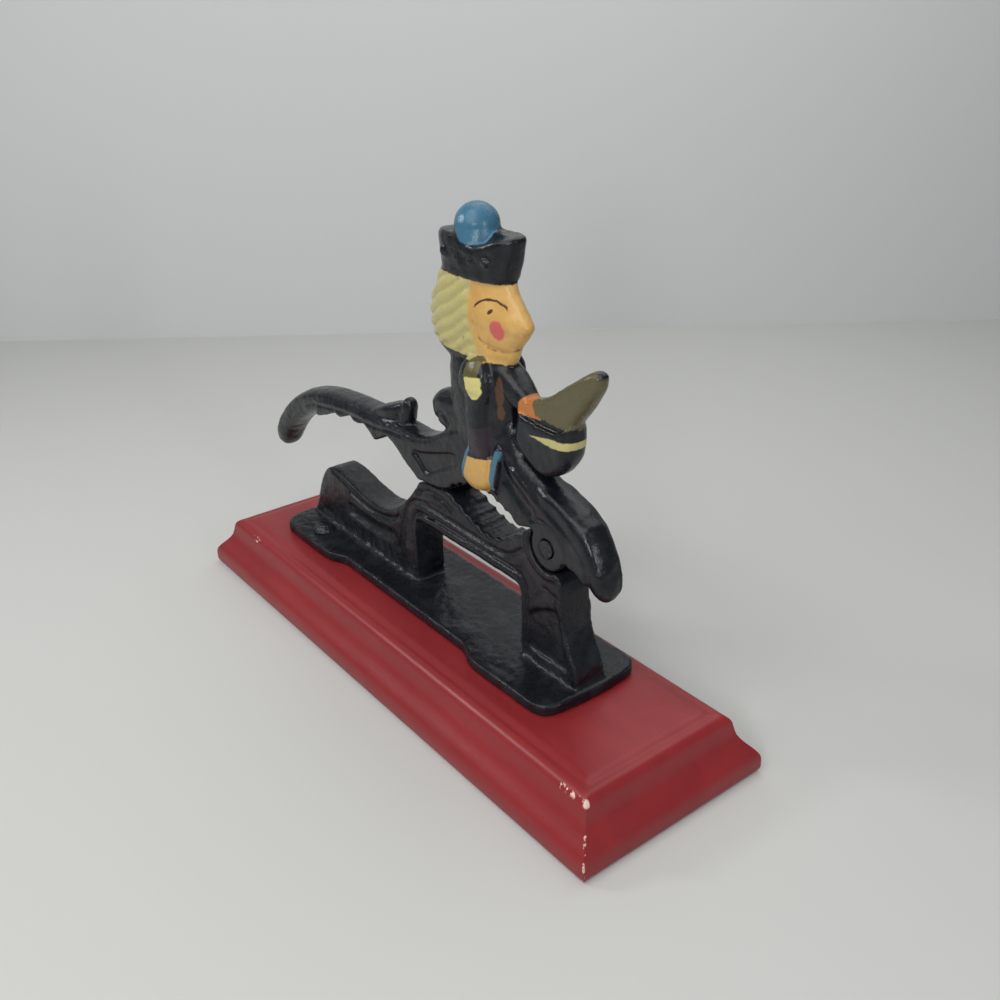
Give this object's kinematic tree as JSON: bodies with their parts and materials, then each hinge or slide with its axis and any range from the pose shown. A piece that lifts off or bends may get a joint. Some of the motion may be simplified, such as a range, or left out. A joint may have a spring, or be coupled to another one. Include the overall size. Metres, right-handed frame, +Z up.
{
  "type": "lever nutcracker press",
  "caption": "Lever nutcracker: a cast-iron lever with a toy-soldier figure turns on a pin above a fluted nut trough on a cast-iron bed, screwed to a moulded red plinth.",
  "frame": {"origin": "centre of the plinth's flat bottom", "axes": "+Z up, +X along the plinth towards the hinge end, +Y to the far side in the picture"},
  "size_m": [0.2117, 0.066, 0.1479],
  "materials": {
    "red_enamel_wood": "glossy red paint over wood",
    "black_enamel_bed": "glossy black enamel over a lumpy casting",
    "black_enamel_lever": "glossy black enamel with hand-painted figure colours",
    "pin_steel": "dark enamelled steel",
    "screw_steel": "dark slotted steel"
  },
  "bodies": {
    "base": {"plinth": "red_enamel_wood", "bed_casting": "black_enamel_bed", "pivot_pin": "pin_steel", "wood_screws": "screw_steel"},
    "lever": {"lever_casting": "black_enamel_lever"}
  },
  "joints": [
    {"name": "lever_hinge", "type": "hinge", "parent": "base", "child": "lever", "pos_m": [0.0545, 0.0026, 0.0617], "axis": [0, 1, 0], "range_deg": [0, 38]}
  ]
}
